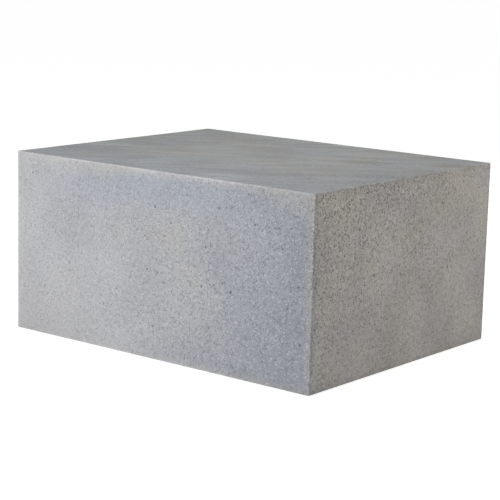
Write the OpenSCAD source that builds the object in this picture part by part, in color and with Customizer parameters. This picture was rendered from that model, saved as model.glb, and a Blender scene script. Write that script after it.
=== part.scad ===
// Solid foundation block of grey aerated concrete, wire-cut on all six sides, lying on its bed.
// Millimetres, +Z up, with the origin in the middle of the lower bed face.

/* [Block] */
// Length along the wall, X
face_length = 440; // [200:5:650]
// Thickness through the wall, Y
wall_thickness = 350; // [100:5:500]
// Height of one course without its mortar joint, Z
course_height = 215; // [100:5:320]

/* [Arrises] */
// Radius of the four upright arrises, worn by handling
upright_arris_r = 1.5; // [0.5:0.1:8]
// Radius of the eight crisper arrises around the two bed faces
bed_arris_r = 1; // [0.5:0.1:8]

/* [Hidden] */
concrete_grey = "#a2a3a5";
// Reach of the arris cuts past the outline
cut_overrun = 1;
$fn = 48;

// What is lost from a square corner when it is eased, from the centre of its quarter circle outwards
module corner_waste(corner_r) {
    difference() {
        square(corner_r + cut_overrun);
        circle(corner_r);
    }
}

// Rectangle about the origin with its four corners eased
module eased_rectangle(size, corner_r) {
    difference() {
        square(size, center = true);
        for (flip_x = [0, 1], flip_y = [0, 1])
            mirror([flip_x, 0])
                mirror([0, flip_y])
                    translate(size / 2 - [corner_r, corner_r])
                        corner_waste(corner_r);
    }
}

// The block as seen from above, which sets its upright arrises
module plan_cut() {
    linear_extrude(course_height, center = true)
        eased_rectangle([face_length, wall_thickness], upright_arris_r);
}

// The block as seen from its long face, which sets the bed arrises at its ends
module face_cut() {
    rotate([90, 0, 0])
        linear_extrude(wall_thickness, center = true)
            eased_rectangle([face_length, course_height], bed_arris_r);
}

// The block as seen from its end, which sets the bed arrises along its faces
module end_cut() {
    rotate([90, 0, 90])
        linear_extrude(face_length, center = true)
            eased_rectangle([wall_thickness, course_height], bed_arris_r);
}

// The whole block, cut from the cake by three pairs of wires
module block() {
    color(concrete_grey)
        translate([0, 0, course_height / 2])
            intersection() {
                plan_cut();
                face_cut();
                end_cut();
            }
}

block();
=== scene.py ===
"""Dresses the solid concrete block.

An open-pored, wire-cut mesh of the same size takes the solid's place, with its finish and a small
studio around it.
"""

import functools
import itertools
import math
import random
from collections import namedtuple

import bmesh
import bpy
from bpy.props import FloatProperty, FloatVectorProperty, IntProperty, PointerProperty
from mathutils import Euler, Matrix, Vector, noise


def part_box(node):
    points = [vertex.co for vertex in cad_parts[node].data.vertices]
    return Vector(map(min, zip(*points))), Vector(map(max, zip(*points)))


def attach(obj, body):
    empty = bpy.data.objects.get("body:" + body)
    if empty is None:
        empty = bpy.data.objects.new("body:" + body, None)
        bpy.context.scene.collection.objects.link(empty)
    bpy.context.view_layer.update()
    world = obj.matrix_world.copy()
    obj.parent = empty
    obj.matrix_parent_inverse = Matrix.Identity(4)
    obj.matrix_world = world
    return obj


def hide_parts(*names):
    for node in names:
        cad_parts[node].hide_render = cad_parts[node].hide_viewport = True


bl_info = {
    "name": "Aerated Concrete Block",
    "version": (1, 0, 0),
    "blender": (4, 5, 0),
    "location": "View3D > Sidebar > Block",
    "description": "Builds an open-pored concrete block in place of its plain solid, and a studio",
    "category": "Object",
}

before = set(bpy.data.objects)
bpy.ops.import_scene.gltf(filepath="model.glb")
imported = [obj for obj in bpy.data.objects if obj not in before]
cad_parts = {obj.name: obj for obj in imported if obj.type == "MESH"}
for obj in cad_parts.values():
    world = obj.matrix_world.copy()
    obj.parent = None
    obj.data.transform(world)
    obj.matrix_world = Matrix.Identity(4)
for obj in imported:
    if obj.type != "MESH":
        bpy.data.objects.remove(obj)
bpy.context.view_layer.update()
BLOCK_LOW, BLOCK_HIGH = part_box("block")
BLOCK_MIDDLE = (BLOCK_LOW + BLOCK_HIGH) / 2
BLOCK_SIZE = BLOCK_HIGH - BLOCK_LOW
ROOT_BODY = "root"
BAKE_MAP = "OFBake"

# The walls are coarsest at one corner, and plain at this distance from it
COARSE_CORNER = Vector((BLOCK_HIGH.x, BLOCK_LOW.y + 0.1 * BLOCK_SIZE.y, BLOCK_LOW.z + 0.1 * BLOCK_SIZE.z))
COARSE_REACH = 0.42

# Slopes that the pores and the finish follow, each over the block's own size
OPEN_SLOPE = Vector((0.0, -1.0 / BLOCK_SIZE.y, 0.9 / BLOCK_SIZE.z))
DAMP_SLOPE = Vector((1.0 / BLOCK_SIZE.x, 0.0, 0.45 / BLOCK_SIZE.z))
SHADE_SLOPE = Vector((1.0 / BLOCK_SIZE.x, 0.0, -0.3 / BLOCK_SIZE.z))
FRONT_SLOPE = Vector((0.0, -1.0 / BLOCK_SIZE.y, 0.0))

# Where the ends are tightest and most open on their slope, from the block's middle
OPEN_RANGE = (-0.6, 0.95)

# Property options that several sizes and colours share
ARRIS = {"min": 0.0005, "max": 0.008, "precision": 4, "unit": "LENGTH"}
SIZE_RANGE = {"size": 2, "precision": 5, "unit": "LENGTH"}
COLOUR = {"subtype": "COLOR", "size": 3, "min": 0.0, "max": 1.0}

Side = namedtuple("Side", "normal across up middle width height")
Spot = namedtuple("Spot", "side point radius")
Lamp = namedtuple("Lamp", "name place size colour")

# Soft square lamps, all aimed at the block's middle
LAMPS = (
    Lamp("key", (-0.23, -0.95, 0.115), 0.4, (0.98, 0.977, 0.988)),
    Lamp("fill", (1.2, 0.34, 0.46), 0.5, (1.0, 0.885, 0.72)),
    Lamp("front", (0.2, -1.9, 0.5), 1.2, (0.76, 0.88, 1.0)),
    Lamp("overhead", (-0.05, -0.4, 1.57), 1.0, (0.88, 0.99, 1.0)),
    Lamp("back", (-1.0, 1.2, 0.105), 0.2, (1.0, 0.98, 0.95)),
)


class BlockSettings(bpy.types.PropertyGroup):
    """Sizes and colours of the concrete block."""

    upright_arris: FloatProperty(
        name="Upright arris radius",
        description="Radius of the four arrises that stand upright, worn by handling",
        default=0.0015,
        **ARRIS,
    )
    bed_arris: FloatProperty(
        name="Bed arris radius",
        description="Radius of the crisper arrises around the two bed faces",
        default=0.001,
        **ARRIS,
    )
    pane: FloatProperty(
        name="Pane size",
        description="Spacing of the grid in which the cut faces drift from flat",
        default=0.025,
        min=0.01,
        max=0.1,
        unit="LENGTH",
    )
    wire_drift: FloatProperty(
        name="Wire drift",
        description="How far the cutting wire wandered into the block",
        default=0.0002,
        min=0.0,
        max=0.002,
        precision=5,
        unit="LENGTH",
    )
    fine_count: IntProperty(
        name="Fine pores",
        description="Number of small conical pores cut open by the wire",
        default=8000,
        min=0,
        max=12000,
    )
    fine_radius: FloatVectorProperty(
        name="Fine pore radius",
        description="Least and greatest radius of the fine pores at the surface",
        default=(0.0005, 0.0009),
        **SIZE_RANGE,
    )
    medium_count: IntProperty(
        name="Medium pores",
        description="Number of bowl-shaped pores cut open by the wire",
        default=1700,
        min=0,
        max=4000,
    )
    medium_radius: FloatVectorProperty(
        name="Medium pore radius",
        description="Least and greatest radius of the medium pores",
        default=(0.0009, 0.0013),
        **SIZE_RANGE,
    )
    coarse_count: IntProperty(
        name="Coarse pores",
        description="Number of large rounded pores cut open by the wire",
        default=480,
        min=0,
        max=800,
    )
    coarse_radius: FloatVectorProperty(
        name="Coarse pore radius",
        description="Least and greatest radius of the coarse pores",
        default=(0.0013, 0.0017),
        **SIZE_RANGE,
    )
    chip_count: IntProperty(
        name="Arris chips",
        description="Number of small bites knocked out of the arrises",
        default=150,
        min=0,
        max=300,
    )
    chip_bite: FloatVectorProperty(
        name="Chip bite",
        description="Least and greatest depth of a chip, from the sharp line of its arris",
        default=(0.0006, 0.0012),
        **SIZE_RANGE,
    )
    crumb_count: IntProperty(
        name="Crumbled places",
        description="Number of pits along the upright arrises, on the side of the ends",
        default=150,
        min=0,
        max=240,
    )
    crumb_radius: FloatVectorProperty(
        name="Crumb radius",
        description="Least and greatest radius of the crumbled places",
        default=(0.001, 0.0017),
        **SIZE_RANGE,
    )
    seed: IntProperty(
        name="Seed",
        description="Start of the draws that place the pores and chips",
        default=7,
        min=0,
    )
    plain_grey: FloatVectorProperty(
        name="Plain grey",
        description="Colour of the dry cut concrete",
        default=(0.402, 0.403, 0.414),
        **COLOUR,
    )
    cool_grey: FloatVectorProperty(
        name="Cool grey",
        description="Colour of its bluish drifts",
        default=(0.367, 0.381, 0.409),
        **COLOUR,
    )
    # Also the colour of the painted bluish reflection on the front of the beds.
    damp_grey: FloatVectorProperty(
        name="Damp and reflection grey",
        description="Colour of the ring that dried last",
        default=(0.342, 0.357, 0.396),
        **COLOUR,
    )
    edge_grey: FloatVectorProperty(
        name="Edge grey",
        description="Colour of the dry strip along the arrises",
        default=(0.432, 0.421, 0.421),
        **COLOUR,
    )
    warm_grey: FloatVectorProperty(
        name="Warm grey",
        description="Colour of its sandy drifts",
        default=(0.409, 0.395, 0.381),
        **COLOUR,
    )
    sand_grey: FloatVectorProperty(
        name="Sand grey",
        description="Colour of the pale sand grains",
        default=(0.65, 0.642, 0.632),
        **COLOUR,
    )
    # Painted shade: the colour that stands for the shade in the pores and the pinholes.
    pore_grey: FloatVectorProperty(
        name="Pore shade grey",
        description="Colour at the bottom of the pores",
        default=(0.18, 0.178, 0.175),
        **COLOUR,
    )


class StageSettings(bpy.types.PropertyGroup):
    """The view of the block and the light on it."""

    azimuth: FloatProperty(
        name="Azimuth",
        description="Direction of the camera round the block, from straight in front of its long face",
        subtype="ANGLE",
        default=math.radians(38.52),
    )
    elevation: FloatProperty(
        name="Elevation",
        description="Height of the camera above the horizon",
        subtype="ANGLE",
        default=math.radians(10.88),
    )
    roll: FloatProperty(
        name="Roll",
        description="Turn of the camera about its line of sight",
        subtype="ANGLE",
        default=math.radians(1.48),
    )
    aim: FloatVectorProperty(
        name="Aim",
        description="Point at the middle of the picture",
        subtype="TRANSLATION",
        size=3,
        default=(-0.0011, -0.0022, 0.1023),
    )
    distance: FloatProperty(
        name="Distance",
        description="From the camera to the point that it aims at",
        unit="LENGTH",
        default=1.982,
    )
    lens: FloatProperty(
        name="Lens",
        description="Focal length on a 36 mm wide sensor",
        unit="CAMERA",
        default=119.05,
    )
    key_power: FloatProperty(
        name="Key power",
        description="Power of the lamp close in front of the long face, towards its left",
        unit="POWER",
        default=5.45,
    )
    fill_power: FloatProperty(
        name="Fill power",
        description="Power of the warm lamp off the block's right end",
        unit="POWER",
        default=4.05,
    )
    front_power: FloatProperty(
        name="Front power",
        description="Power of the wide cool lamp farther out in front of the long face",
        unit="POWER",
        default=2.15,
    )
    overhead_power: FloatProperty(
        name="Overhead power",
        description="Power of the lamp over the block's top",
        unit="POWER",
        default=4.95,
    )
    back_power: FloatProperty(
        name="Back power",
        description="Power of the lamp that lights the two sides turned away from the camera",
        unit="POWER",
        default=9.0,
    )
    ambient: FloatProperty(
        name="Ambient",
        description="Strength of the even light from all round",
        default=0.45,
        min=0.0,
        max=2.0,
    )


def on_axis(axis, length):
    """A vector of a given length along one axis."""
    vector = Vector((0, 0, 0))
    vector[axis] = length
    return vector


def new_mesh(name, bm):
    """A mesh of what a bmesh holds, which is freed."""
    mesh = bpy.data.meshes.new(name)
    bm.to_mesh(mesh)
    bm.free()
    return mesh


def block_sides():
    """The six plain sides of the block, with the directions across and up each one as seen from outside."""
    sides = []
    for axis, sign in itertools.product(range(3), (-1, 1)):
        normal = on_axis(axis, sign)
        up = Vector((0, 1, 0)) if axis == 2 else Vector((0, 0, 1))
        across = up.cross(normal)
        middle = BLOCK_MIDDLE + normal * BLOCK_SIZE[axis] / 2
        width = abs(across.dot(BLOCK_SIZE))
        height = abs(up.dot(BLOCK_SIZE))
        sides.append(Side(normal, across, up, middle, width, height))
    return sides


# The body of the block


def is_upright(edge):
    """True for an edge that runs along Z."""
    first, second = (v.co for v in edge.verts)
    return abs(first.x - second.x) + abs(first.y - second.y) < abs(first.z - second.z)


def is_bed_arris(edge):
    """True for an edge between a bed face and a wall of the block."""
    half_tilted = 0.5
    lying = [abs(f.normal.z) > half_tilted for f in edge.link_faces]
    return any(lying) and not all(lying)


def cut_panes(bm, pane):
    """Cuts the body's faces into a grid of about that spacing."""
    for axis in range(3):
        count = round(BLOCK_SIZE[axis] / pane)
        for i in range(1, count):
            place = BLOCK_LOW + BLOCK_SIZE * i / count
            everything = bm.verts[:] + bm.edges[:] + bm.faces[:]
            bmesh.ops.bisect_plane(bm, geom=everything, plane_co=place, plane_no=on_axis(axis, 1))


def let_wire_drift(bm, drift):
    """Moves the cut faces in from flat by a slow ripple, never outwards."""
    ripples_per_metre = 9.0
    for vert in bm.verts:
        depth = drift * (0.5 + 0.5 * noise.noise(vert.co * ripples_per_metre))
        vert.co -= vert.normal * depth


def wire_cut_body(settings):
    """A closed cuboid of the solid's size with eased arrises and slightly rippled faces, as a mesh."""
    bm = bmesh.new()
    place = Matrix.Translation(BLOCK_MIDDLE) @ Matrix.Diagonal((*BLOCK_SIZE, 1))
    bmesh.ops.create_cube(bm, size=1, matrix=place)
    rounded = {"profile": 0.5, "affect": "EDGES", "material": -1, "clamp_overlap": True}
    uprights = [e for e in bm.edges if is_upright(e)]
    bmesh.ops.bevel(bm, geom=uprights, offset=settings.upright_arris, segments=3, **rounded)
    bm.normal_update()
    beds = [e for e in bm.edges if is_bed_arris(e)]
    bmesh.ops.bevel(bm, geom=beds, offset=settings.bed_arris, segments=2, **rounded)
    cut_panes(bm, settings.pane)
    bm.normal_update()
    let_wire_drift(bm, settings.wire_drift)
    return new_mesh("wire_cut_body", bm)


# Places of the pores, crumbs and chips

# Most draws for each one that finds a place
MOST_TRIES = 60


def openness(point):
    """How open the concrete is at a point, from 0 in its tight stretches to 1 in its coarse ones."""
    cluster_size = 0.045
    cluster_share = 0.55
    corner_share = 0.4
    rise_share = 0.55
    end_share = 0.14
    end_place_share = 0.499
    clustered = cluster_share * (0.5 + 0.5 * noise.noise(point / cluster_size))
    if abs(point.x - BLOCK_MIDDLE.x) > end_place_share * BLOCK_SIZE.x:
        low, high = OPEN_RANGE
        rise = max(0.0, (OPEN_SLOPE.dot(point - BLOCK_MIDDLE) - low) / (high - low))
        return min(1.0, clustered + rise_share * rise + end_share)
    coarse = max(0.0, 1.0 - (point - COARSE_CORNER).length / COARSE_REACH)
    return clustered + corner_share * coarse


def cell_of(point, cell):
    """Indices of the cubic cell that holds a point."""
    return tuple(math.floor(c / cell) for c in point)


def touches(point, radius, taken, cell):
    """True if a pore here would break into one of those already placed."""
    wall = 0.0002
    x, y, z = cell_of(point, cell)
    for dx, dy, dz in itertools.product((-1, 0, 1), repeat=3):
        for other, reach in taken.get((x + dx, y + dy, z + dz), ()):
            if (point - other).length < radius + reach + wall:
                return True
    return False


def scatter_pores(rng, count, radii):
    """Spots for that many pores on the six sides, none of which touch each other."""
    tight_power = 2.5
    open_power = 1.0
    tight_chance = 0.06
    open_chance = 0.94
    cells_per_radius = 2.5
    sides = block_sides()
    areas = [side.width * side.height for side in sides]
    least, greatest = radii
    cell = cells_per_radius * greatest
    taken = {}
    spots = []
    for _ in range(count * MOST_TRIES):
        if len(spots) == count:
            break
        side = rng.choices(sides, areas)[0]
        across = side.across * side.width * (rng.random() - 0.5)
        point = side.middle + across + side.up * side.height * (rng.random() - 0.5)
        open_here = openness(point)
        power = tight_power - (tight_power - open_power) * open_here
        radius = least + (greatest - least) * rng.random() ** power
        if rng.random() > tight_chance + open_chance * open_here**3 or touches(point, radius, taken, cell):
            continue
        taken.setdefault(cell_of(point, cell), []).append((point, radius))
        spots.append(Spot(side, point, radius))
    if len(spots) < count:
        raise RuntimeError(f"the block has no room for {count} pores of this size")
    return spots


def scatter_crumbs(rng, count, radii):
    """Spots along the four upright arrises, on the side of the ends, where the concrete has crumbled."""
    reach = 0.0035
    uneven_steps = (0.4, 1.6)
    least_step_in_radii = 2.5
    ends = [side for side in block_sides() if side.normal.x]
    least, greatest = radii
    rows = list(itertools.product(ends, (-1, 1)))
    spots = []
    for side, hand in rows:
        step = side.height / (count // len(rows))
        height = step * rng.random() - side.height / 2
        while height < side.height / 2:
            inwards = side.width / 2 - reach * rng.random()
            point = side.middle + side.across * hand * inwards + side.up * height
            spots.append(Spot(side, point, rng.uniform(least, greatest)))
            height += max(step * rng.uniform(*uneven_steps), least_step_in_radii * greatest)
    return spots


def arris_lines():
    """Each of the twelve arrises as its axis, its middle and its diagonal out of the block."""
    lines = []
    for axis in range(3):
        first, second = [a for a in range(3) if a != axis]
        for sign_1, sign_2 in itertools.product((-1, 1), repeat=2):
            out = on_axis(first, sign_1) + on_axis(second, sign_2)
            middle = BLOCK_MIDDLE + Vector([o * s / 2 for o, s in zip(out, BLOCK_SIZE)])
            lines.append((axis, middle, out.normalized()))
    return lines


def random_turn(rng):
    """A turn any way round, as a matrix."""
    return Euler([rng.uniform(0, math.tau) for _ in range(3)]).to_matrix().to_4x4()


def scatter_chips(rng, settings):
    """Places for the chips along the arrises, well apart, each as a matrix for a shape of radius 1."""
    spacing = 0.01
    radii = (0.0025, 0.0045)
    stretches = (1.0, 2.2)
    knocked_arris = Vector((1, -1, 0)).normalized()
    knocked_weight = 3.0
    same_way = 0.99
    lines = arris_lines()
    weights = []
    for axis, _, out in lines:
        weights.append(BLOCK_SIZE[axis] * (knocked_weight if out.dot(knocked_arris) > same_way else 1.0))
    places = []
    centres = []
    for _ in range(settings.chip_count * MOST_TRIES):
        if len(places) == settings.chip_count:
            break
        axis, middle, out = rng.choices(lines, weights)[0]
        along = on_axis(axis, BLOCK_SIZE[axis] * (rng.random() - 0.5))
        radius = rng.uniform(*radii)
        centre = middle + along + out * (radius - rng.uniform(*settings.chip_bite))
        if any((centre - other).length < spacing for other in centres):
            continue
        stretch = Vector((radius, radius, radius))
        stretch[axis] *= rng.uniform(*stretches)
        places.append(Matrix.Translation(centre) @ Matrix.Diagonal((*stretch, 1)) @ random_turn(rng))
        centres.append(centre)
    if len(places) < settings.chip_count:
        raise RuntimeError(f"the arrises have no room for {settings.chip_count} chips")
    return places


# Shapes of the pores and chips, each closed, to be cut out of the body


def cone_pore(bm, rng, spot):
    """A small pit with a few sloping sides, a little askew."""
    overrun = 0.3
    lean = 0.3
    depths = (0.9, 1.3)
    depth = spot.radius * rng.uniform(*depths)
    tilt = Euler((rng.uniform(-lean, lean), rng.uniform(-lean, lean), rng.uniform(0, math.tau)))
    lift = Matrix.Translation((0, 0, depth * (overrun - 1) / 2))
    facing = spot.side.normal.to_track_quat("Z", "Y").to_matrix().to_4x4()
    bmesh.ops.create_cone(
        bm,
        cap_ends=True,
        segments=5,
        radius1=0,
        radius2=spot.radius * (1 + overrun),
        depth=depth * (1 + overrun),
        matrix=Matrix.Translation(spot.point) @ facing @ tilt.to_matrix().to_4x4() @ lift,
    )


def rounded_pore(bm, rng, spot, subdivisions):
    """A cell opened above its widest place, turned at random so that its rim is uneven."""
    heights = (0.2, 0.5)
    widths = (0.85, 1.15)
    height = spot.radius * rng.uniform(*heights)
    turn = random_turn(rng)
    squash = Matrix.Diagonal((rng.uniform(*widths), rng.uniform(*widths), 1, 1))
    centre = Matrix.Translation(spot.point + spot.side.normal * height)
    place = centre @ turn @ squash
    bmesh.ops.create_icosphere(bm, subdivisions=subdivisions, radius=spot.radius, matrix=place)


def chip(bm, place):
    """A rough lump that bites into an arris."""
    bmesh.ops.create_icosphere(bm, subdivisions=1, radius=1, matrix=place)


def joined_cutter(name, places, make):
    """One mesh with a shape made at each place, in batches because a full bmesh is slow to add to."""
    batch = 100
    whole = bmesh.new()
    for start in range(0, len(places), batch):
        part = bmesh.new()
        for place in places[start : start + batch]:
            make(part, place)
        part_mesh = new_mesh(name, part)
        whole.from_mesh(part_mesh)
        bpy.data.meshes.remove(part_mesh)
    return new_mesh(name, whole)


def pore_cutter(kind, rng, settings, scatter, shape):
    """A cutter with a pore of the given shape at each scattered spot, for one kind in the settings."""
    spots = scatter(rng, getattr(settings, kind + "_count"), getattr(settings, kind + "_radius"))
    return joined_cutter(kind + "_pores", spots, lambda bm, spot: shape(bm, rng, spot))


def all_cutters(rng, settings):
    """The cutters for the chips, the crumbled places and the pores, in the order of their draws."""
    bowl = functools.partial(rounded_pore, subdivisions=1)
    ball = functools.partial(rounded_pore, subdivisions=2)
    return [
        joined_cutter("chips", scatter_chips(rng, settings), chip),
        pore_cutter("crumb", rng, settings, scatter_crumbs, bowl),
        pore_cutter("coarse", rng, settings, scatter_pores, ball),
        pore_cutter("medium", rng, settings, scatter_pores, bowl),
        pore_cutter("fine", rng, settings, scatter_pores, cone_pore),
    ]


def cut_away(body, cutters):
    """The body's mesh with every cutter taken out of it, one after the other."""
    scene = bpy.context.scene
    blank = bpy.data.objects.new("blank", body)
    scene.collection.objects.link(blank)
    tools = []
    for mesh in cutters:
        tool = bpy.data.objects.new(mesh.name, mesh)
        scene.collection.objects.link(tool)
        cut = blank.modifiers.new(mesh.name, "BOOLEAN")
        cut.operation = "DIFFERENCE"
        cut.solver = "MANIFOLD"
        cut.object = tool
        tools.append(tool)
    graph = bpy.context.evaluated_depsgraph_get()
    result = bpy.data.meshes.new_from_object(blank.evaluated_get(graph))
    for spare in [blank, *tools]:
        mesh = spare.data
        bpy.data.objects.remove(spare)
        bpy.data.meshes.remove(mesh)
    return result


# The finished mesh and its flat map


def close_tears(bm):
    """Cuts out the faces at each edge that doesn't join just two of them, and fills the holes that leaves."""
    most_rounds = 5
    for _ in range(most_rounds):
        torn = [e for e in bm.edges if not e.is_manifold]
        if not torn:
            return
        around = {face for edge in torn for face in edge.link_faces}
        bmesh.ops.delete(bm, geom=list(around), context="FACES")
        bmesh.ops.holes_fill(bm, edges=[e for e in bm.edges if e.is_boundary])
        bmesh.ops.triangulate(bm, faces=bm.faces[:])
    raise RuntimeError("the block's mesh could not be closed")


def turn_flat_faces(bm):
    """Turns the longest edge of each triangle without an area, to join the two corners across it."""
    least_area = 1e-13
    most_rounds = 4
    for _ in range(most_rounds):
        flat = [face for face in bm.faces if face.calc_area() < least_area]
        longest = {max(face.edges, key=lambda edge: edge.calc_length()) for face in flat}
        bmesh.ops.rotate_edges(bm, edges=list(longest), use_ccw=True)


def clean_up(bm):
    """Leaves plain triangles, without the slivers that the cuts made."""
    sliver = 0.00002
    bmesh.ops.triangulate(bm, faces=bm.faces[:])
    bmesh.ops.remove_doubles(bm, verts=bm.verts[:], dist=sliver)
    bmesh.ops.dissolve_degenerate(bm, dist=sliver / 2, edges=bm.edges[:])
    bmesh.ops.triangulate(bm, faces=bm.faces[:])
    close_tears(bm)
    turn_flat_faces(bm)
    bmesh.ops.recalc_face_normals(bm, faces=bm.faces[:])


def side_corners(sides):
    """Lower left corner of each side on the flat map in metres, two alike in a row, and the map's width."""
    gap = 0.006
    corners = []
    top = gap
    width = 0.0
    for first in range(0, len(sides), 2):
        left = gap
        for side in sides[first : first + 2]:
            corners.append(Vector((left, top)))
            left += side.width + gap
        top += sides[first].height + gap
        width = max(width, left, top)
    return corners, width


def nearest_side(face, sides):
    """Index of the side that a face looks out of and lies just under."""
    depth_weight = 200.0
    middle = face.calc_center_median()

    def fitness(index):
        side = sides[index]
        depth = (side.middle - middle).dot(side.normal)
        return face.normal.dot(side.normal) - depth_weight * depth

    return max(range(len(sides)), key=fitness)


def lay_out_map(bm):
    """Unfolds the block: every face is laid flat on its nearest side."""
    layer = bm.loops.layers.uv.new(BAKE_MAP)
    sides = block_sides()
    corners, width = side_corners(sides)
    for face in bm.faces:
        index = nearest_side(face, sides)
        side = sides[index]
        for loop in face.loops:
            offset = loop.vert.co - side.middle
            flat = Vector((offset.dot(side.across) + side.width / 2, offset.dot(side.up) + side.height / 2))
            loop[layer].uv = (corners[index] + flat) / width


# Shader nodes and the groups that the finish places

# Sockets of a Mix node set to colours, which share their names with those of its other kinds
MIX_FACTOR = 0
MIX_A = 6
MIX_B = 7
MIX_RESULT = 2

# Kinds of group socket
VECTOR = "NodeSocketVector"
NUMBER = "NodeSocketFloat"


class NodeBench:
    """Adds labelled nodes to one node tree. An input is a plain value or a socket to link from."""

    def __init__(self, tree):
        self.tree = tree

    def link(self, source, target):
        """Links one node's output to another's input."""
        self.tree.links.new(source, target)

    def add(self, kind, label, inputs, **settings):
        """A new node, with its settings made before its inputs."""
        made = self.tree.nodes.new(kind)
        made.label = label
        for name, value in settings.items():
            setattr(made, name, value)
        for socket, value in inputs.items():
            if isinstance(value, bpy.types.NodeSocket):
                self.link(value, made.inputs[socket])
            else:
                made.inputs[socket].default_value = value
        return made

    def maths(self, operation, label, *values):
        """The result of a Math node."""
        made = self.add("ShaderNodeMath", label, dict(enumerate(values)), operation=operation)
        return made.outputs["Value"]

    def times(self, label, first, second):
        """Two values multiplied."""
        return self.maths("MULTIPLY", label, first, second)

    def add_share(self, label, whole, change, share):
        """A value with a share of a change added to it."""
        return self.maths("MULTIPLY_ADD", label, change, share, whole)

    def vectors(self, operation, label, *values):
        """The outputs of a Vector Math node."""
        return self.add("ShaderNodeVectorMath", label, dict(enumerate(values)), operation=operation).outputs

    def ramp(self, label, value, start, end, low=0.0, high=1.0):
        """A smooth step from low to high as the value goes from start to end."""
        inputs = {"Value": value, "From Min": start, "From Max": end, "To Min": low, "To Max": high}
        made = self.add("ShaderNodeMapRange", label, inputs, interpolation_type="SMOOTHSTEP")
        return made.outputs["Result"]

    def between(self, label, mask, off, on):
        """One value where a mask is 0, and another where it is 1."""
        return self.ramp(label, mask, 0.0, 1.0, low=off, high=on)

    def blend(self, label, factor, first, second, blend_type="MIX"):
        """The colour that a Mix node makes of two colours."""
        inputs = {MIX_FACTOR: factor, MIX_A: first, MIX_B: second}
        made = self.add("ShaderNodeMix", label, inputs, data_type="RGBA", blend_type=blend_type)
        return made.outputs[MIX_RESULT]

    def place(self, label, group, inputs):
        """The outputs of a node group, placed with its own values."""
        return self.add("ShaderNodeGroup", label, inputs, node_tree=group).outputs


def new_group(name, inputs, outputs):
    """A new shader node group's bench, what the group is given and what it puts out."""
    group = bpy.data.node_groups.new(name, "ShaderNodeTree")
    for way, sockets in (("INPUT", inputs), ("OUTPUT", outputs)):
        for socket, kind in sockets.items():
            group.interface.new_socket(socket, in_out=way, socket_type=kind)
    given = group.nodes.new("NodeGroupInput").outputs
    result = group.nodes.new("NodeGroupOutput").inputs
    return NodeBench(group), given, result


def block_depth_group():
    """Depth under the block's nearest side, distance from its nearest arris, and from each pair of sides."""
    bench, given, result = new_group(
        "Block Depth",
        {"Point": VECTOR, "Middle": VECTOR, "Half Size": VECTOR},
        dict.fromkeys(("Depth", "Arris Distance", "From Ends", "From Faces", "From Beds"), NUMBER),
    )
    offset = bench.vectors("SUBTRACT", "From the middle", given["Point"], given["Middle"])["Vector"]
    either_way = bench.vectors("ABSOLUTE", "Either way", offset)["Vector"]
    inside = bench.vectors("SUBTRACT", "In from each side", given["Half Size"], either_way)["Vector"]
    x, y, z = bench.add("ShaderNodeSeparateXYZ", "Each way", {"Vector": inside}).outputs
    nearer = bench.maths("MINIMUM", "Nearer of two", x, y)
    farther = bench.maths("MAXIMUM", "Farther of two", x, y)
    second = bench.maths("MINIMUM", "Second or third", farther, z)
    bench.link(bench.maths("MINIMUM", "Nearest", nearer, z), result["Depth"])
    bench.link(bench.maths("MAXIMUM", "Second nearest", nearer, second), result["Arris Distance"])
    bench.link(x, result["From Ends"])
    bench.link(y, result["From Faces"])
    bench.link(z, result["From Beds"])
    return bench.tree


def clouds_group():
    """Soft clouds of a given size, spread over the range from 0 to 1."""
    bench, given, result = new_group(
        "Cement Clouds",
        {"Point": VECTOR, "Shift": VECTOR, "Size": NUMBER, "Detail": NUMBER},
        {"Cloud": NUMBER},
    )
    moved = bench.vectors("ADD", "Shifted", given["Point"], given["Shift"])["Vector"]
    density = bench.maths("DIVIDE", "Clouds to a metre", 1.0, given["Size"])
    inputs = {"Vector": moved, "Scale": density, "Detail": given["Detail"], "Roughness": 0.5}
    cloud = bench.add("ShaderNodeTexNoise", "Clouds", inputs).outputs["Fac"]
    bench.link(bench.ramp("Spread", cloud, start=0.28, end=0.72), result["Cloud"])
    return bench.tree


def pinholes_group():
    """Round spots, one in each cell of a given size, of a radius that varies from cell to cell."""
    bench, given, result = new_group(
        "Pinholes",
        {"Point": VECTOR, "Cell": NUMBER, "Greatest Radius": NUMBER},
        {"Pinhole": NUMBER},
    )
    density = bench.maths("DIVIDE", "Cells to a metre", 1.0, given["Cell"])
    cells = bench.add("ShaderNodeTexVoronoi", "Cells", {"Vector": given["Point"], "Scale": density}).outputs
    chance = bench.add("ShaderNodeSeparateColor", "Chance", {"Color": cells["Color"]}).outputs["Red"]
    sparse = bench.maths("POWER", "Few large ones", chance, 2.0)
    radius = bench.times("Radius", sparse, given["Greatest Radius"])
    share = bench.maths("DIVIDE", "Radius in cells", radius, given["Cell"])
    rim = bench.maths("SUBTRACT", "In from the rim", share, cells["Distance"])
    hollow = bench.maths("DIVIDE", "Towards the middle", rim, share)
    bench.link(bench.ramp("Rounded", hollow, start=0.0, end=0.75), result["Pinhole"])
    return bench.tree


# The finish of the concrete


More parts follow.
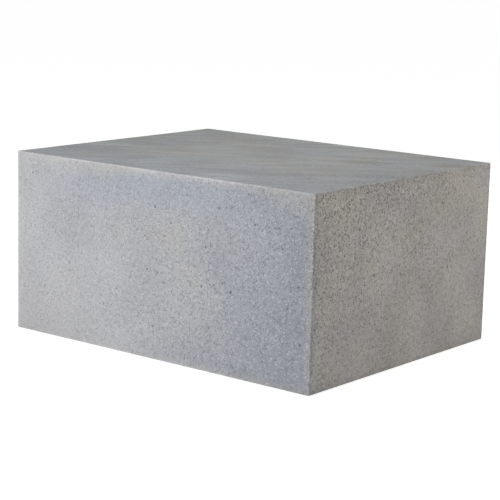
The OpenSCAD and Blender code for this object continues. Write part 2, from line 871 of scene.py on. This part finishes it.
class ConcreteFinish(NodeBench):
    """The concrete's own nodes: the tones of its ground, their lightness, and its pores and sand."""

    def __init__(self, tree, settings):
        super().__init__(tree)
        self.settings = settings
        self.cloud_group = clouds_group()
        self.pinhole_group = pinholes_group()
        self.depth_group = block_depth_group()
        self.point = self.add("ShaderNodeTexCoord", "On the block", {}).outputs["Object"]
        self.depth = self.measured("Depth in the block", BLOCK_MIDDLE)
        self.end = self.side_mask("End face", "From Ends")
        self.bed = self.side_mask("Bed face", "From Beds")
        self.face = self.side_mask("Long face", "From Faces", elsewhere=0.2)
        from_corner = self.vectors("DISTANCE", "From the coarse corner", self.point, COARSE_CORNER)["Value"]
        self.coarse = self.ramp("Coarse corner", from_corner, start=0.03, end=COARSE_REACH, low=1.0, high=0.0)
        self.opened = self.along_slope("Open arris", OPEN_SLOPE, *OPEN_RANGE)
        self.wander = self.cloud("Wander", size=0.12, detail=1.0, shift=(0.0, 0.71, 0.0))
        self.mottle = self.cloud("Mottle", size=0.07, detail=3.0, shift=(0.0, 0.0, 0.83))
        self.grain = self.cloud("Grain", size=0.0014, detail=2.0, shift=(0.0, 0.0, 0.0))

    def measured(self, label, middle):
        """Distances in from the sides of a block of this size, about a given middle."""
        inputs = {"Point": self.point, "Middle": middle, "Half Size": BLOCK_SIZE / 2}
        return self.place(label, self.depth_group, inputs)

    def side_mask(self, label, distance, elsewhere=0.0):
        """1 on one pair of sides, and a lower value past their arrises."""
        return self.ramp(label, self.depth[distance], start=0.0, end=0.004, low=1.0, high=elsewhere)

    def along_slope(self, label, slope, start, end, low=0.0, high=1.0):
        """A smooth step along a slope, between two levels that count from the block's middle."""
        level = slope.dot(BLOCK_MIDDLE)
        reached = self.vectors("DOT_PRODUCT", label + " slope", self.point, slope)["Value"]
        return self.ramp(label, reached, level + start, level + end, low, high)

    def cloud(self, label, size, detail, shift):
        """Clouds of a size in metres, where the shift keeps like clouds apart."""
        inputs = {"Point": self.point, "Size": size, "Detail": detail, "Shift": shift}
        return self.place(label, self.cloud_group, inputs)["Cloud"]

    def along_wire(self, label, stretch, size, detail):
        """Clouds drawn out along the wire that cut the beds."""
        across_block = (0.0, 0.0, math.radians(38))
        inputs = {"Vector": self.point, "Rotation": across_block, "Scale": (stretch, 1.0, 1.0)}
        drawn_out = self.add("ShaderNodeMapping", label + " drawn out", inputs, vector_type="TEXTURE")
        inputs = {"Point": drawn_out.outputs["Vector"], "Size": size, "Detail": detail}
        return self.place(label, self.cloud_group, inputs)["Cloud"]

    def graded(self, label, walls, ends):
        """A value that rises to the coarse corner on the walls, and to the open arris on the ends."""
        on_walls = self.between(label + " on the walls", self.coarse, *walls)
        on_ends = self.between(label + " on the ends", self.opened, *ends)
        return self.between(label, self.end, off=on_walls, on=on_ends)

    def swung(self, label, cloud, swing):
        """A lightness about 1 that follows a cloud, by a swing from its darkest to its palest."""
        either_way = self.maths("SUBTRACT", label + " either way", cloud, 0.5)
        return self.add_share(label, 1.0, either_way, swing)

    def damp_ring(self):
        """Damp that dried last, in a ring inside the edges of the long faces, most of it up on the right."""
        sunk = Vector((0.0, 0.0, 0.014))
        share_of_ends = 0.26
        corner_rounding = 0.04
        most_wander = 0.02
        lower = self.measured("From a lower middle", BLOCK_MIDDLE - sunk)
        across = self.times("Wider at the ends", lower["From Ends"], share_of_ends)
        oval = self.maths("SMOOTH_MIN", "Oval", across, lower["From Beds"], corner_rounding)
        distance = self.add_share("Wandering distance", oval, self.wander, most_wander)
        inside = self.ramp("In from the edge", distance, start=-0.004, end=0.012)
        outside = self.ramp("Out from the middle", distance, start=0.026, end=0.062, low=1.0, high=0.0)
        ring = self.times("Ring", inside, outside)
        damp_side = self.along_slope("Up on the right", DAMP_SLOPE, start=-0.4, end=0.1, low=0.15)
        return self.times("Damp", ring, self.times("Where it is damp", damp_side, self.face))

    def ground_tones(self):
        """Colour of the cut concrete: cool and sandy drifts, a damp ring, a painted bluish reflection on the
        front of the beds, and its dry corner and edges.
        """
        settings = self.settings
        cool = self.cloud("Cool drift", size=0.16, detail=2.0, shift=(0.31, 0.0, 0.0))
        warm = self.cloud("Sandy drift", size=0.07, detail=2.0, shift=(0.0, 0.57, 0.0))
        end_or_bed = self.maths("MAXIMUM", "End or bed", self.end, self.bed)
        sandier = self.between("Sandier ends and beds", end_or_bed, off=0.55, on=0.9)
        corner = self.along_slope("Down on the left", DAMP_SLOPE, start=-0.7, end=-0.1, low=0.9, high=0.0)
        # Painted bluish reflection on the front of the beds, in the damp ring's grey.
        painted_cool_front = self.along_slope("Painted cool front", FRONT_SLOPE, start=0.0, end=0.45, high=0.5)
        edge = self.ramp("Dry strip", self.depth["Arris Distance"], start=0.0, end=0.012, low=0.8, high=0.0)
        cooler = self.between("Cooler beds", self.bed, off=0.4, on=0.65)
        layers = (
            ("Cool", self.times("Some cool", cool, cooler), settings.cool_grey),
            ("Sandy", self.times("Some sandy", warm, sandier), settings.warm_grey),
            ("Dry corner", self.times("On the corner", corner, self.face), settings.edge_grey),
            ("Damp ring", self.damp_ring(), settings.damp_grey),
            ("Painted reflection on the beds", self.times("On the beds", painted_cool_front, self.bed), settings.damp_grey),
            ("Dry edges", self.times("On the edges", edge, self.face), settings.edge_grey),
        )
        colour = (*settings.plain_grey, 1)
        for label, factor, grey in layers:
            colour = self.blend(label, factor, colour, (*grey, 1))
        return colour

    def painted_low_shade(self):
        """Painted shade on the long faces: their lightness, darker low on the right."""
        # Painted shade: the long faces darken low on the right.
        shade = self.along_slope("Low on the right", SHADE_SLOPE, start=0.05, end=0.6, high=-0.1)
        return self.add_share("Painted low shade", 1.0, shade, self.face)

    def edge_wear_and_highlight(self):
        """Lightness along the arrises: rubbed pale on the long faces, partly as a painted highlight, and
        darker beside them on the ends.
        """
        arris = self.depth["Arris Distance"]
        # Rubbed pale along the arrises of the long faces, and partly a painted highlight where the arris
        # catches the light.
        rubbed_and_highlit = self.ramp("Rubbed and highlit", arris, start=0.0004, end=0.002, low=0.15, high=0.0)
        beside = self.maths("SUBTRACT", "Beside the arris", arris, self.depth["From Ends"])
        end_side = self.ramp("On the end's side", beside, start=0.0003, end=0.0012)
        # Darker beside the arrises on the ends, most at the open arris.
        darker_by_arris = self.ramp("Darker by the arris", arris, start=0.001, end=0.013, low=-0.12, high=0.0)
        most_open = self.ramp("Most at the open arris", self.opened, start=0.15, end=0.6, low=0.35)
        darker_by_arris = self.times("Darker there", darker_by_arris, most_open)
        worn_and_highlit = self.add_share("Worn and highlit faces", 1.0, rubbed_and_highlit, self.face)
        return self.add_share("Darker on the end sides", worn_and_highlit, darker_by_arris, end_side)

    def bed_tone(self):
        """Lightness of the beds: streaks and patches along the wire, and painted light, with darker ends and
        a paler front.
        """
        streak = self.along_wire("Wire streaks", stretch=10.0, size=0.007, detail=2.0)
        patch = self.along_wire("Wire patches", stretch=3.0, size=0.03, detail=3.0)
        swing = self.ramp("Streaks come and go", self.wander, start=0.2, end=0.8, low=0.07, high=0.26)
        streaked = self.swung("Streaked", streak, swing)
        tone = self.times("Cut tone", streaked, self.swung("Patchy", patch, swing=0.15))
        # Painted light: the beds are painted darker towards their ends and paler towards the front, as light
        # falls on them.
        middle = self.ramp("Paler middle", self.depth["From Ends"], start=0.0, end=0.15, low=0.93, high=1.03)
        front = self.along_slope("Paler front", FRONT_SLOPE, start=0.0, end=0.45, low=1.0, high=1.1)
        tone = self.times("Whole tone", tone, self.times("Painted light on the beds", middle, front))
        change = self.maths("SUBTRACT", "Change of tone", tone, 1.0)
        return self.add_share("Bed tone", 1.0, change, self.bed)

    def lightness(self):
        """Lightness of the ground, about 1, with painted shade and light in it."""
        crumb = self.cloud("Crumb", size=0.005, detail=3.0, shift=(0.47, 0.0, 0.0))
        mottle_swing = self.between("Mottle swing", self.end, off=0.106, on=0.16)
        crumb_swing = self.graded("Crumb swing", walls=(0.11, 0.17), ends=(0.21, 0.29))
        layers = (
            ("grain", self.swung("Grainy", self.grain, swing=0.14)),
            ("crumb", self.swung("Crumbly", crumb, crumb_swing)),
            ("painted low shade", self.painted_low_shade()),
            ("edge wear and highlight", self.edge_wear_and_highlight()),
            ("bed tone", self.bed_tone()),
        )
        whole = self.swung("Mottled", self.mottle, mottle_swing)
        for label, layer in layers:
            whole = self.times("With " + label, whole, layer)
        return whole

    def uneven_point(self):
        """The point, moved a little every way so that what is placed by it has uneven rims."""
        wobble_size = 0.0016
        wobble = Vector((0.0017, 0.0017, 0.0017))
        inputs = {"Vector": self.point, "Scale": 1 / wobble_size, "Detail": 1.0}
        shift = self.add("ShaderNodeTexNoise", "Wobble", inputs).outputs["Color"]
        return self.vectors("MULTIPLY_ADD", "Uneven rims", shift, wobble, self.point)["Vector"]

    def spots(self, label, point, cell, radius):
        """Pinholes or grains of up to a radius, one to a cell."""
        inputs = {"Point": point, "Cell": cell, "Greatest Radius": radius}
        return self.place(label, self.pinhole_group, inputs)["Pinhole"]

    def pinholes(self, point, coarseness):
        """Pinholes too fine to model, in two sizes, wider where they cluster."""
        cluster = self.cloud("Pore clusters", size=0.009, detail=2.0, shift=(0.0, 0.23, 0.0))
        small_radius = self.between("Small radius", cluster, off=0.0007, on=0.00093)
        large_radius = self.between("Large radius", cluster, off=0.00135, on=0.0018)
        small_radius = self.times("Small here", small_radius, coarseness)
        large_radius = self.times("Large here", large_radius, coarseness)
        small = self.spots("Small pinholes", point, cell=0.0013, radius=small_radius)
        large = self.spots("Large pinholes", point, cell=0.0023, radius=large_radius)
        fewer = self.between("Fewer small on the ends", self.end, off=1.0, on=0.45)
        return self.maths("MAXIMUM", "Any pinhole", self.times("Fewer small", small, fewer), large)

    def pore_shade(self, pinholes):
        """How dark the pinholes and the modelled pores are, as painted shade: stronger deeper in the pores
        and on the ends, where light grazes, and weaker on the beds.
        """
        # Painted shade in the pinholes and pores, stronger on the ends, where light grazes.
        strength = self.graded("Pinhole strength", walls=(0.52, 0.64), ends=(0.6, 0.88))
        shallow = self.between("Shallow on the beds", self.bed, off=0.0, on=-0.12)
        strength = self.maths("ADD", "Strength here", strength, shallow)
        pinhole_shade = self.times("Pinhole shade", pinholes, strength)
        in_pores = self.ramp("In the pores", self.depth["Depth"], start=0.00025, end=0.0011)
        deepest = self.between("Darker in the ends", self.end, off=0.64, on=0.95)
        return self.maths("MAXIMUM", "Shade", pinhole_shade, self.times("Pore shade", in_pores, deepest))

    def sand(self, point, coarseness):
        """How much the pale sand grains show."""
        other_cells = {"Vector": point, "Location": (0.61, 0.37, 0.13)}
        shifted = self.add("ShaderNodeMapping", "Other cells", other_cells).outputs["Vector"]
        grain_radius = 0.0016
        radius = self.times("Grain radius", coarseness, grain_radius)
        grains = self.spots("Sand grains", shifted, cell=0.002, radius=radius)
        showing = self.graded("Sand", walls=(0.38, 0.48), ends=(0.7, 0.98))
        rubbed_off = self.between("Off the beds", self.bed, off=1.0, on=0.5)
        return self.times("Some sand", grains, self.times("Sand here", showing, rubbed_off))

    def feed(self, shader):
        """Feeds the shader its colour, its roughness and its fine relief."""
        settings = self.settings
        point = self.uneven_point()
        coarseness = self.graded("Coarseness", walls=(0.95, 1.08), ends=(1.02, 1.24))
        pinholes = self.pinholes(point, coarseness)
        colour = self.blend("Lightened", 1.0, self.ground_tones(), self.lightness(), "MULTIPLY")
        colour = self.blend("Sanded", self.sand(point, coarseness), colour, (*settings.sand_grey, 1))
        colour = self.blend("Painted pore shade", self.pore_shade(pinholes), colour, (*settings.pore_grey, 1))
        roughness = self.between("Roughness", self.mottle, off=0.97, on=0.86)
        grain_height = 0.35
        grains = self.times("Grain relief", self.grain, grain_height)
        relief = self.maths("SUBTRACT", "Relief", grains, pinholes)
        inputs = {"Height": relief, "Strength": 0.7, "Distance": 0.0005}
        bump = self.add("ShaderNodeBump", "Fine relief", inputs)
        self.link(colour, shader.inputs["Base Color"])
        self.link(roughness, shader.inputs["Roughness"])
        self.link(bump.outputs["Normal"], shader.inputs["Normal"])
        shader.inputs["Specular IOR Level"].default_value = 0.25


def concrete_material(settings):
    """Grey aerated concrete, with open pores, sand, damp and wire streaks, and painted shade and light."""
    material = bpy.data.materials.new("aerated_concrete")
    material.use_nodes = True
    tree = material.node_tree
    ConcreteFinish(tree, settings).feed(tree.nodes["Principled BSDF"])
    return material


class OBJECT_OT_build_concrete_block(bpy.types.Operator):
    """Build the open-pored block in place of the plain solid"""

    bl_idname = "object.build_concrete_block"
    bl_label = "Build Concrete Block"
    bl_options = {"REGISTER", "UNDO"}

    def execute(self, context):
        settings = context.scene.concrete_block
        cutters = all_cutters(random.Random(settings.seed), settings)
        mesh = cut_away(wire_cut_body(settings), cutters)
        mesh.name = "concrete_block"
        bm = bmesh.new()
        bm.from_mesh(mesh)
        clean_up(bm)
        lay_out_map(bm)
        bm.to_mesh(mesh)
        bm.free()
        mesh.shade_smooth()
        mesh.set_sharp_from_angle(angle=math.radians(25))
        mesh.materials.clear()
        mesh.materials.append(concrete_material(settings))
        piece = bpy.data.objects.new("concrete_block", mesh)
        context.scene.collection.objects.link(piece)
        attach(piece, ROOT_BODY)
        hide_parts("block")
        return {"FINISHED"}


# The studio

WHITE = (1, 1, 1, 1)


def seen_rays(bench):
    """1 for rays that show the backdrop, straight or by a mirror or glass, and 0 for those that light."""
    path = bench.add("ShaderNodeLightPath", "Kind of ray", {}).outputs
    mirrored = bench.maths("MAXIMUM", "Seen or mirrored", path["Is Camera Ray"], path["Is Glossy Ray"])
    return bench.maths("MAXIMUM", "Seen in any way", mirrored, path["Is Transmission Ray"])


def floor_material():
    """Pale floor that shows as white where nothing shades it."""
    pale = (0.6, 0.6, 0.6, 1)
    lift_to_white = 0.72
    material = bpy.data.materials.new("pale_floor")
    material.use_nodes = True
    tree = material.node_tree
    tree.nodes.remove(tree.nodes["Principled BSDF"])
    bench = NodeBench(tree)
    strength = bench.times("Backdrop strength", seen_rays(bench), lift_to_white)
    paint = bench.add("ShaderNodeBsdfDiffuse", "Pale paint", {"Color": pale})
    glow = bench.add("ShaderNodeEmission", "White backdrop", {"Color": WHITE, "Strength": strength})
    both = bench.add("ShaderNodeAddShader", "Floor", {0: paint.outputs[0], 1: glow.outputs[0]})
    bench.link(both.outputs[0], tree.nodes["Material Output"].inputs["Surface"])
    return material


def make_floor(scene):
    """A level floor that fills the picture, just under the block."""
    reach = 40.0
    under_block = Matrix.Translation((0, 0, -0.0002))
    bm = bmesh.new()
    bmesh.ops.create_grid(bm, x_segments=1, y_segments=1, size=reach, matrix=under_block)
    mesh = new_mesh("floor", bm)
    mesh.materials.append(floor_material())
    floor = bpy.data.objects.new("floor", mesh)
    scene.collection.objects.link(floor)


def make_world(scene, ambient):
    """Even light from all round, behind a white backdrop."""
    world = bpy.data.worlds.new("studio")
    world.use_nodes = True
    bench = NodeBench(world.node_tree)
    background = world.node_tree.nodes["Background"]
    background.inputs["Color"].default_value = WHITE
    inputs = {"Value": seen_rays(bench), "To Min": ambient, "To Max": 1.0}
    strength = bench.add("ShaderNodeMapRange", "Light or backdrop", inputs)
    bench.link(strength.outputs["Result"], background.inputs["Strength"])
    scene.world = world


def make_lamp(scene, lamp, power):
    """One of the lamps, out of the camera's sight."""
    light = bpy.data.lights.new(lamp.name, "AREA")
    light.size = lamp.size
    light.energy = power
    light.color = lamp.colour
    piece = bpy.data.objects.new(lamp.name, light)
    piece.location = lamp.place
    piece.rotation_euler = (BLOCK_MIDDLE - Vector(lamp.place)).to_track_quat("-Z", "Y").to_euler()
    piece.visible_camera = False
    scene.collection.objects.link(piece)


def make_camera(scene, settings):
    """The camera, at the photograph's viewing angle."""
    azimuth = settings.azimuth
    elevation = settings.elevation
    level_reach = math.cos(elevation)
    back = Vector((math.sin(azimuth) * level_reach, -math.cos(azimuth) * level_reach, math.sin(elevation)))
    camera = bpy.data.cameras.new("camera")
    camera.sensor_width = 36.0
    camera.lens = settings.lens
    camera.clip_end = 100.0
    piece = bpy.data.objects.new("camera", camera)
    level = (-back).to_track_quat("-Z", "Y").to_matrix()
    turned = (level @ Matrix.Rotation(settings.roll, 3, "Z")).to_4x4()
    piece.matrix_world = Matrix.Translation(Vector(settings.aim) + back * settings.distance) @ turned
    scene.collection.objects.link(piece)
    scene.camera = piece


class SCENE_OT_set_block_stage(bpy.types.Operator):
    """Set up the floor, the world, the lamps and the camera"""

    bl_idname = "scene.set_block_stage"
    bl_label = "Set Block Stage"
    bl_options = {"REGISTER", "UNDO"}

    def execute(self, context):
        scene = context.scene
        settings = scene.block_stage
        make_floor(scene)
        make_world(scene, settings.ambient)
        for lamp in LAMPS:
            make_lamp(scene, lamp, getattr(settings, lamp.name + "_power"))
        make_camera(scene, settings)
        scene.view_settings.view_transform = "Standard"
        return {"FINISHED"}


class VIEW3D_PT_concrete_block(bpy.types.Panel):
    """Lists the block's sizes, colours and builders"""

    bl_label = "Concrete Block"
    bl_idname = "VIEW3D_PT_concrete_block"
    bl_space_type = "VIEW_3D"
    bl_region_type = "UI"
    bl_category = "Block"

    def draw(self, context):
        for settings, operator in (
            (context.scene.concrete_block, OBJECT_OT_build_concrete_block),
            (context.scene.block_stage, SCENE_OT_set_block_stage),
        ):
            box = self.layout.box()
            for name in type(settings).__annotations__:
                box.prop(settings, name)
            box.operator(operator.bl_idname)


CLASSES = (
    BlockSettings,
    StageSettings,
    OBJECT_OT_build_concrete_block,
    SCENE_OT_set_block_stage,
    VIEW3D_PT_concrete_block,
)


def register():
    """Adds the classes and the scene's settings."""
    for cls in CLASSES:
        bpy.utils.register_class(cls)
    bpy.types.Scene.concrete_block = PointerProperty(type=BlockSettings)
    bpy.types.Scene.block_stage = PointerProperty(type=StageSettings)


def unregister():
    """Takes them away again."""
    del bpy.types.Scene.block_stage
    del bpy.types.Scene.concrete_block
    for cls in reversed(CLASSES):
        bpy.utils.unregister_class(cls)


def main():
    """Builds the block and its stage."""
    register()
    bpy.ops.scene.set_block_stage()
    bpy.ops.object.build_concrete_block()


if __name__ == "__main__":
    main()
